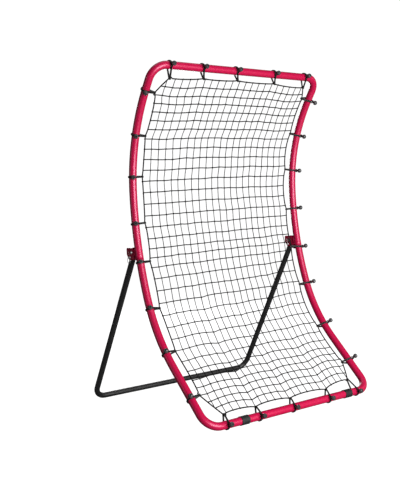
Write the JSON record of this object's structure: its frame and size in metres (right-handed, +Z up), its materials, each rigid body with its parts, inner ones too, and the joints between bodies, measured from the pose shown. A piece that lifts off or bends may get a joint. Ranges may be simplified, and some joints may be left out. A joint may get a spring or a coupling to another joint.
{
  "type": "pitch back rebounder",
  "caption": "Curved tube frame holding a knotted rebound net on ball bungees, propped by a U-shaped rear leg that pivots in two brackets and is set by ring-pull pins.",
  "frame": {"origin": "on the ground, under the middle of the whole object's bounding box", "axes": "+Z up, +X to the right seen from the net's front, -Y the way the net faces"},
  "size_m": [0.9528, 0.8892, 1.4294],
  "materials": {
    "crimson_powder_coat": "gloss",
    "crimson_plate": "gloss",
    "black_powder_coat": "satin",
    "zinc_plate": "bright",
    "bare_steel": "satin",
    "black_rubber": "matte",
    "black_elastic": "satin",
    "black_cord": "matte"
  },
  "bodies": {
    "frame": {"upper_frame_tube": "crimson_powder_coat", "lower_frame_tube": "crimson_powder_coat", "left_joint_spigot": "bare_steel", "right_joint_spigot": "bare_steel", "left_leg_bracket": "crimson_plate", "right_leg_bracket": "crimson_plate", "left_pivot_bolt": "zinc_plate", "left_pivot_nut": "zinc_plate", "right_pivot_bolt": "zinc_plate", "right_pivot_nut": "zinc_plate", "left_bar_sleeve": "black_rubber", "right_bar_sleeve": "black_rubber", "left_bungee_1": "black_elastic", "left_bungee_2": "black_elastic", "left_bungee_3": "black_elastic", "left_bungee_4": "black_elastic", "left_bungee_5": "black_elastic", "left_bungee_6": "black_elastic", "left_bungee_7": "black_elastic", "left_bungee_8": "black_elastic", "right_bungee_1": "black_elastic", "right_bungee_2": "black_elastic", "right_bungee_3": "black_elastic", "right_bungee_4": "black_elastic", "right_bungee_5": "black_elastic", "right_bungee_6": "black_elastic", "right_bungee_7": "black_elastic", "right_bungee_8": "black_elastic", "top_bungee_1": "black_elastic", "top_bungee_2": "black_elastic", "top_bungee_3": "black_elastic", "top_bungee_4": "black_elastic", "top_bungee_5": "black_elastic", "bottom_bungee_1": "black_elastic", "bottom_bungee_2": "black_elastic", "bottom_bungee_3": "black_elastic", "bottom_bungee_4": "black_elastic", "bottom_bungee_5": "black_elastic", "net_edge_rope": "black_cord", "rebound_net": "black_cord"},
    "leg": {"support_leg_tube": "black_powder_coat"},
    "left_pin": {"left_lock_pin": "zinc_plate"},
    "right_pin": {"right_lock_pin": "zinc_plate"},
    "left_ring": {"left_pull_ring": "zinc_plate"},
    "right_ring": {"right_pull_ring": "zinc_plate"}
  },
  "joints": [
    {"name": "leg_fold", "type": "hinge", "parent": "frame", "child": "leg", "pos_m": [0, 0.0363, 0.67596], "axis": [1, 0, 0], "range_deg": [-37, 0]},
    {"name": "left_pin_pull", "type": "slide", "parent": "frame", "child": "left_pin", "axis": [-1, 0, 0], "range_m": [0, 0.045]},
    {"name": "right_pin_pull", "type": "slide", "parent": "frame", "child": "right_pin", "axis": [1, 0, 0], "range_m": [0, 0.045]},
    {"name": "left_ring_swing", "type": "hinge", "parent": "left_pin", "child": "left_ring", "pos_m": [-0.47155, 0.04834, 0.65578], "axis": [0, 1, 0], "range_deg": [-5, 120]},
    {"name": "right_ring_swing", "type": "hinge", "parent": "right_pin", "child": "right_ring", "pos_m": [0.47155, 0.04834, 0.65578], "axis": [0, -1, 0], "range_deg": [-5, 120]}
  ]
}
